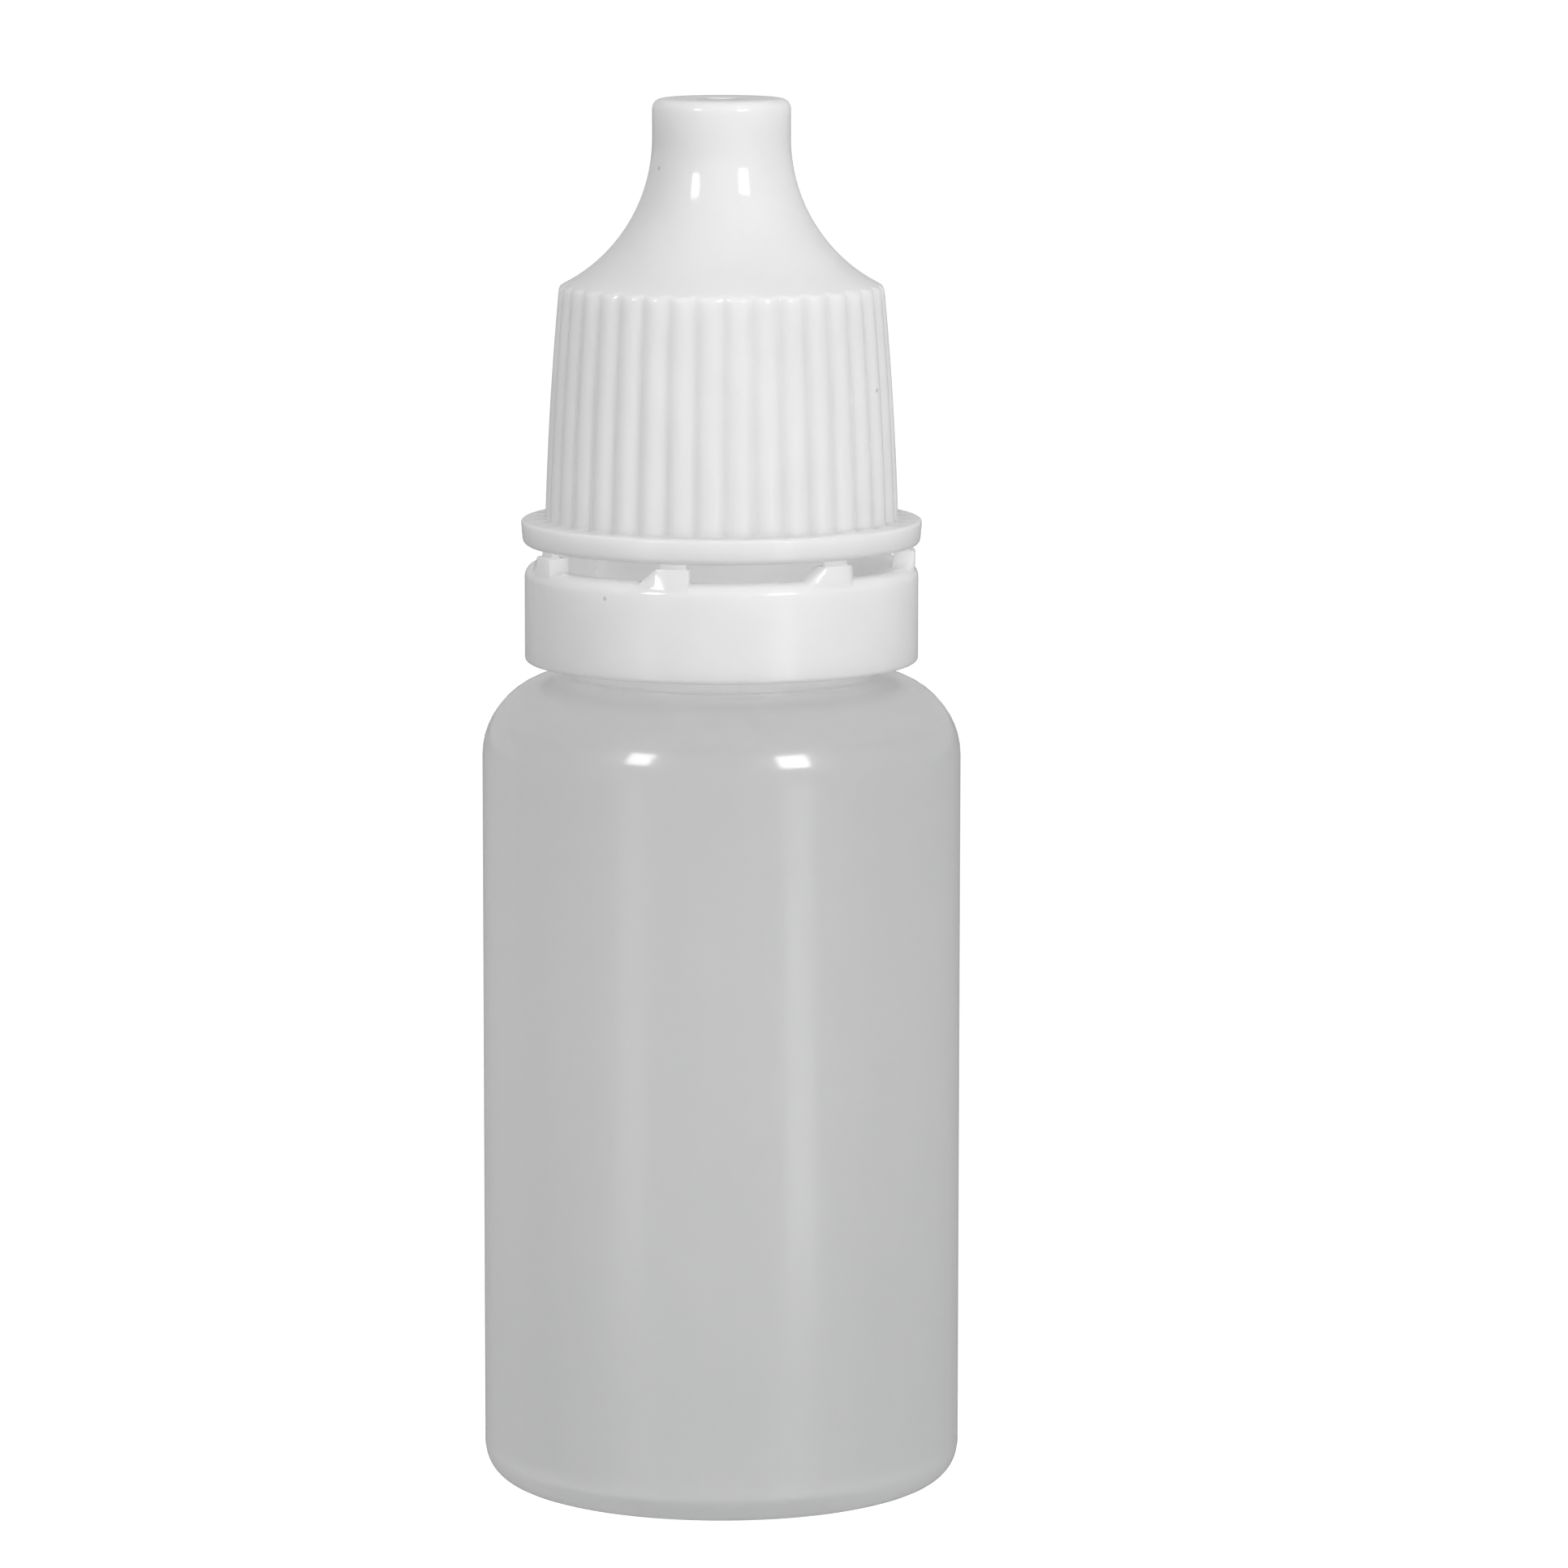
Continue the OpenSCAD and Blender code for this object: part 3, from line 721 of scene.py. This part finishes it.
def cap_section(offset):
    """The section from the dimple, down the outside, in under the lip and up the inside to the pin."""
    rim_r = skirt(offset, rim_z)
    top_z = sweep_height(rim_r)
    rim_angle = math.acos((crown_r + sweep_r - rim_r) / sweep_r)
    corners = []
    for i in range(dimple_steps + 1):
        turn = math.pi * i / dimple_steps
        corners.append((dimple_r * i / dimple_steps, crown_top_z - dimple_h * (1 + math.cos(turn)) / 2, 0))
    corners.append((crown_r, crown_top_z, crown_edge))
    for i in range(sweep_steps):
        turn = rim_angle * i / sweep_steps
        corners.append(
            (crown_r + sweep_r * (1 - math.cos(turn)), sweep_z - sweep_r * math.sin(turn), 0)
        )
    corners.append((rim_r, top_z, 0.3))
    for z in levels(top_z, lip_top_z, (top_z - lip_top_z) / skirt_steps)[1:skirt_steps]:
        corners.append((skirt(offset, z), z, 0))
    corners += [
        (skirt(offset, lip_top_z), lip_top_z, 0.12), (lip_r, lip_top_z, 0.15),
        (lip_r - lip_draw, cap_z, 0.3), (cap_bore_r + lead_in, cap_z, 0.1),
    ]
    bore_top_angle = math.acos((crown_r + sweep_r - cap_bore_r) / (sweep_r + cap_wall))
    thread_top = cap_thread_z + cap_thread_length + 1
    corners += [(cap_bore_r, z, 0) for z in levels(cap_z + lead_in, thread_top, 0.12)]
    for i in range(ceiling_steps + 1):
        turn = bore_top_angle * (1 - i / ceiling_steps)
        corners.append((
            crown_r + sweep_r - (sweep_r + cap_wall) * math.cos(turn),
            sweep_z - (sweep_r + cap_wall) * math.sin(turn), 0,
        ))
    ceiling_z = tip_top.z
    corners += [
        (crown_r - cap_wall, ceiling_z, 0.2), (pin_root_r, ceiling_z, 0.05),
        (pin_end_r, ceiling_z - pin_h, 0.1), (0, ceiling_z - pin_h, 0),
    ]
    return rounded(corners)


print("cap section:", len(cap_section(0)), "points")

# %% Repeat the slice and cut the thread
slice_degrees = [-5, -4.3, -3.7, -3, -2, -1, 0, 1, 2, 3, 3.7, 4.3, 5]
slice_angles = [math.radians(rib_turn + a) for a in slice_degrees]
cap = skinned(
    "screw_cap_moulded", slice_angles, lambda angle: cap_section(angle - math.radians(rib_turn)),
    whole_turn=False,
)
run_tree(cap, repeat_tree, {"Material": cap_white, "Count": rib_count})
run_tree(cap, thread_tree, {
    "Material": cap_white, "Wall Radius": cap_bore_r * MM, "Height": -cap_thread_h * MM,
    "Pitch": thread_pitch * MM, "Crest Width": crest_w * MM, "Flank Width": flank_w * MM,
    "Start": cap_thread_z * MM, "Length": cap_thread_length * MM, "Fade": thread_fade * MM,
})
finished(cap, "screw_cap", "cap", SOFT_CREASE)

# %% [markdown]
# The tamper band
#
# The band hangs under the neck's collar by a bead inside it. Seven drive teeth stand on it, upright on one
# side and slanted on the other, and a thin bridge on each one joins it to the cap until the first opening.
# The section of the ring stays the same all round but for its top, which each tooth lifts. So every point
# of the section has three places, plain, tooth and bridge, and the slice moves from one to the next.

# %% Sizes of the band in millimetres
band_z, band_r = band_low.z, band_top.x
band_inner_r, band_flat_z, band_round = 7.95, band_z + 4.5, 0.6
bead_r, bead_z, bead_top_z = 7.3, band_z + 0.45, band_z + 1.35
tooth_count, tooth_turn = 7, -9.7
tooth_r, tooth_z, tooth_edge = 8.9, band_flat_z + 0.65, 0.08
tooth_top_w, tooth_slant_w = 1.5, 0.9
bridge_r, bridge_inner_r, bridge_end = 8.7, 8.35, 0.12
print("band:", round(band_r * 2, 2), "mm across, with", tooth_count, "teeth")


# %% The top of the band, plain, with a tooth and with a bridge
def on_round(degrees):
    """A point on the round upper edge of the band."""
    turn = math.radians(degrees)
    return (band_r - band_round * (1 - math.cos(turn)), band_flat_z - band_round * (1 - math.sin(turn)))


# the middle of a round lies this share of its radius in from both sides
ARC_SHARE = 0.29
gap, eased = 0.02, ARC_SHARE * tooth_edge
flat_outer_r, flat_inner_r = 8.3, 8.15
tooth_foot_degrees = math.degrees(math.acos(1 - (band_r - tooth_r) / band_round))
top_rows = [
    (on_round(tooth_foot_degrees),) * 3,
    (on_round(48), (tooth_r, tooth_z - tooth_edge), (tooth_r, tooth_z - tooth_edge)),
    (on_round(55), (tooth_r - eased, tooth_z - eased), (tooth_r - eased, tooth_z - eased)),
    (on_round(63), (tooth_r - tooth_edge, tooth_z), (tooth_r - tooth_edge, tooth_z)),
    (on_round(71), (bridge_r, tooth_z), (bridge_r, tooth_z)),
    (on_round(80), (bridge_r - gap, tooth_z), (bridge_r - gap, cap_z)),
    (on_round(90), (bridge_inner_r + gap, tooth_z), (bridge_inner_r + gap, cap_z)),
    ((flat_outer_r, band_flat_z), (bridge_inner_r, tooth_z), (bridge_inner_r, tooth_z)),
    ((flat_inner_r, band_flat_z),) + ((band_inner_r + tooth_edge, tooth_z),) * 2,
    ((band_inner_r + eased, band_flat_z - eased / 4),) + ((band_inner_r + eased, tooth_z - eased),) * 2,
    ((band_inner_r, band_flat_z - tooth_edge),) + ((band_inner_r, tooth_z - tooth_edge),) * 2,
]


def band_section(tooth, bridge):
    """The ring's closed section, with its top lifted by shares of a tooth and of a bridge."""
    lower = rounded([
        (band_inner_r, band_flat_z - 0.3, 0), (band_inner_r, bead_top_z, 0.1), (bead_r, bead_top_z, 0.12),
        (bead_r, (bead_z + bead_top_z) / 2, 0.12), (band_inner_r, bead_z, 0.1),
        (band_inner_r, band_z, 0.1), (band_r, band_z, 0.2), (*on_round(0), 0),
    ])
    side = [on_round(degrees) for degrees in (14, 28)]
    top = []
    for plain, lifted, bridged in top_rows:
        low = Vector(plain).lerp(Vector(lifted), tooth)
        top.append(tuple(low.lerp(Vector(bridged), bridge)))
    return lower + side + top


print("band section:", len(band_section(0, 0)), "points")

# %% Repeat the slice with its tooth
def tooth_degrees(width):
    """The angle that a width measured from a tooth's upright side takes up on the tooth's face."""
    return -math.degrees(math.asin(width / tooth_r))


foot_w = tooth_top_w + tooth_slant_w
edge_share = tooth_edge / (tooth_z - band_flat_z)
tooth_stations = [
    (tooth_degrees(foot_w), 0, 0), (tooth_degrees(foot_w - tooth_slant_w / 2), 0.5, 0),
    (tooth_degrees(tooth_top_w + 0.06), 0.95, 0), (tooth_degrees(tooth_top_w - 0.02), 1, 0),
    (tooth_degrees(tooth_top_w - bridge_end), 1, 0), (tooth_degrees(tooth_top_w - bridge_end - gap), 1, 1),
    (tooth_degrees(tooth_top_w * 0.66), 1, 1), (tooth_degrees(tooth_top_w * 0.33), 1, 1),
    (tooth_degrees(bridge_end + gap), 1, 1), (tooth_degrees(bridge_end), 1, 0),
    (tooth_degrees(tooth_edge), 1, 0), (tooth_degrees(eased), 1 - ARC_SHARE * edge_share, 0),
    (0, 1 - edge_share, 0), (gap, 0, 0),
]
slice_turn = 360 / tooth_count
slice_start = -0.7 * slice_turn
before = [(a, 0, 0) for a in levels(slice_start, tooth_degrees(foot_w), 2)[:-1]]
after = [(a, 0, 0) for a in levels(gap, slice_start + slice_turn, 2)[1:]]
stations = {math.radians(tooth_turn + a): (t, b) for a, t, b in before + tooth_stations + after}
band = skinned(
    "tamper_band_moulded", list(stations), lambda angle: band_section(*stations[angle]),
    whole_turn=False, closed_section=True,
)
run_tree(band, repeat_tree, {"Material": band_white, "Count": tooth_count})
finished(band, "tamper_band", "band")

# %% [markdown]
# Floor, surroundings and light
#
# The bottle stands on a plain satin table. The camera sees the table and the surroundings as white, while
# the bottle is lit by a calmer grey room that is brighter behind, so that some light comes through its
# back. Mirroring rays see plain grey there, since the photograph shows no bright rims. Two small soft boxes
# stand in front, one on each side. Their places are read from the highlights: on a round wall, a light
# shows where the wall faces half-way to it. A large panel to the right of the camera gives the even light
# on the front. It is hidden from mirroring rays, or it would lie on the front as a wide pale patch. A soft
# box also leaves a long streak on a satin table, and the bottle mirrors it as a faint upright stripe below
# each highlight, so the table shows mirroring rays two streaks.
# The two streaks are painted reflections: the table glows with them, and only mirroring rays see that glow.

# %% Floor that the camera sees as white, with the bottle's shadow
LAMP_SIDES = (-42, 36.5)
PAINTED_SHEEN_STRENGTHS = (0.5, 0.9)
SHEEN_EDGE, SHEEN_CORE = math.radians(11), math.radians(3)
SHEEN_START, SHEEN_FULL = 30 * MM, 90 * MM
FLOOR_GLOW = 0.8
floor_size = 6.0
floor_mesh = bpy.data.meshes.new("floor")
floor_mesh.from_pydata(
    [(x * floor_size / 2, y * floor_size / 2, 0) for x, y in ((-1, -1), (1, -1), (1, 1), (-1, 1))],
    [], [(0, 1, 2, 3)],
)
floor_piece = new_piece("floor", floor_mesh)
floor_paint = new_material("pale_floor_paint")
tree = floor_paint.node_tree
rays = add(tree, "ShaderNodeLightPath").outputs
spot = add(tree, "ShaderNodeTexCoord").outputs["Object"]
part = add(tree, "ShaderNodeSeparateXYZ", inputs={0: spot}).outputs
forward = add(tree, "ShaderNodeMath", {"operation": "MULTIPLY"}, {0: part["Y"], 1: -1.0}).outputs[0]
side = add(tree, "ShaderNodeMath", {"operation": "ARCTAN2"}, {0: part["X"], 1: forward}).outputs[0]
# Painted reflection: two glowing streaks on the floor in the directions of the soft boxes, for mirroring rays
# only.
painted_sheen = 0.0
for lamp_side, strength in zip(LAMP_SIDES, PAINTED_SHEEN_STRENGTHS):
    off = add(
        tree, "ShaderNodeMath", {"operation": "SUBTRACT"}, {0: side, 1: math.radians(lamp_side)}
    ).outputs[0]
    off = add(tree, "ShaderNodeMath", {"operation": "ABSOLUTE"}, {0: off}).outputs[0]
    streak = add(
        tree, "ShaderNodeMapRange", {"interpolation_type": "SMOOTHSTEP"},
        {"Value": off, "From Min": SHEEN_EDGE, "From Max": SHEEN_CORE, "To Max": strength},
    ).outputs[0]
    painted_sheen = add(tree, "ShaderNodeMath", {"operation": "ADD"}, {0: streak, 1: painted_sheen}).outputs[0]
away = add(tree, "ShaderNodeVectorMath", {"operation": "LENGTH"}, {0: spot}).outputs["Value"]
beyond_foot = add(
    tree, "ShaderNodeMapRange", {"interpolation_type": "SMOOTHSTEP"},
    {"Value": away, "From Min": SHEEN_START, "From Max": SHEEN_FULL},
).outputs[0]
painted_sheen = add(tree, "ShaderNodeMath", {"operation": "MULTIPLY"}, {0: painted_sheen, 1: beyond_foot}).outputs[0]
mirrored = add(
    tree, "ShaderNodeMath", {"operation": "MULTIPLY"}, {0: painted_sheen, 1: rays["Is Glossy Ray"]}
).outputs[0]
paint = add(tree, "ShaderNodeBsdfPrincipled", inputs={
    "Base Color": linear("#B4B4B4"), "Roughness": 0.35,
    "Emission Color": linear("#FFFFFF"), "Emission Strength": mirrored,
})
soft_paint = add(tree, "ShaderNodeBsdfDiffuse", inputs={"Color": linear("#A8A8A8")})
glow = add(tree, "ShaderNodeEmission", inputs={"Color": linear("#FFFFFF"), "Strength": FLOOR_GLOW})
lit = add(tree, "ShaderNodeAddShader", inputs={0: soft_paint.outputs[0], 1: glow.outputs[0]})
mixed = add(
    tree, "ShaderNodeMixShader", inputs={0: rays["Is Camera Ray"], 1: paint.outputs[0], 2: lit.outputs[0]}
)
add(tree, "ShaderNodeOutputMaterial", inputs={"Surface": mixed.outputs[0]})
floor_mesh.materials.append(floor_paint)
print("floor:", floor_size, "m wide")

# %% Surroundings
ROOM_GLOW, BACKDROP_GLOW = 0.51, 0.85
BACKDROP_EDGE, BACKDROP_FULL = 0.3, 0.8
world = bpy.data.worlds.new("studio")
bpy.context.scene.world = world
world.use_nodes = True
tree = world.node_tree
tree.nodes.clear()
seen = add(tree, "ShaderNodeLightPath").outputs["Is Camera Ray"]
backdrop = add(tree, "ShaderNodeBackground", inputs={"Color": linear("#FFFFFF"), "Strength": 1.0})
direction = add(tree, "ShaderNodeTexCoord").outputs["Generated"]
backwards = add(tree, "ShaderNodeSeparateXYZ", inputs={0: direction}).outputs["Y"]
mirrored = add(tree, "ShaderNodeLightPath").outputs["Is Glossy Ray"]
backdrop_glow = add(
    tree, "ShaderNodeMapRange", inputs={"Value": mirrored, "To Min": BACKDROP_GLOW, "To Max": ROOM_GLOW}
).outputs[0]
brightness = add(
    tree, "ShaderNodeMapRange", {"interpolation_type": "SMOOTHSTEP"},
    {
        "Value": backwards, "From Min": BACKDROP_EDGE, "From Max": BACKDROP_FULL,
        "To Min": ROOM_GLOW, "To Max": backdrop_glow,
    },
).outputs[0]
room = add(tree, "ShaderNodeBackground", inputs={"Color": linear("#FFFFFF"), "Strength": brightness})
mixed = add(tree, "ShaderNodeMixShader", inputs={0: seen, 1: room.outputs[0], 2: backdrop.outputs[0]})
add(tree, "ShaderNodeOutputWorld", inputs={"Surface": mixed.outputs[0]})
print("room glow:", ROOM_GLOW, "and behind the bottle:", BACKDROP_GLOW)

# %% Two soft boxes and a large panel
AIM = Vector((0, 0, 40 * MM))


def soft_box(name, side_degrees, up_degrees, distance, size, watts):
    """A soft box that looks at the bottle from an angle to the camera's side and above the horizon."""
    side, up = math.radians(side_degrees), math.radians(up_degrees)
    away = Vector((math.sin(side) * math.cos(up), -math.cos(side) * math.cos(up), math.sin(up)))
    lamp = bpy.data.lights.new(name, "AREA")
    lamp.shape = "RECTANGLE"
    lamp.size, lamp.size_y = size
    lamp.energy = watts
    holder = bpy.data.objects.new(name, lamp)
    holder.location = AIM + away * distance
    holder.rotation_euler = (-away).to_track_quat("-Z", "Y").to_euler()
    bpy.context.scene.collection.objects.link(holder)
    print("lamp:", name, watts, "W")
    return holder


soft_box("soft_box_left", LAMP_SIDES[0], 26, 0.6, (0.12, 0.16), 0.57)
soft_box("soft_box_right", LAMP_SIDES[1], 24, 0.6, (0.15, 0.17), 0.88)
bounce_panel = soft_box("bounce_panel", 26, 10, 1.2, (1.6, 1.2), 7.0)
bounce_panel.visible_glossy = False

# %% [markdown]
# Colours as they are written
#
# Blender's default view pulls bright whites together, which would turn this white cap and its background
# grey. The Standard view shows each colour as its hex value says, so it can be compared with the photo.

# %% Show colours as written
bpy.context.scene.view_settings.view_transform = "Standard"
print("view:", bpy.context.scene.view_settings.view_transform)
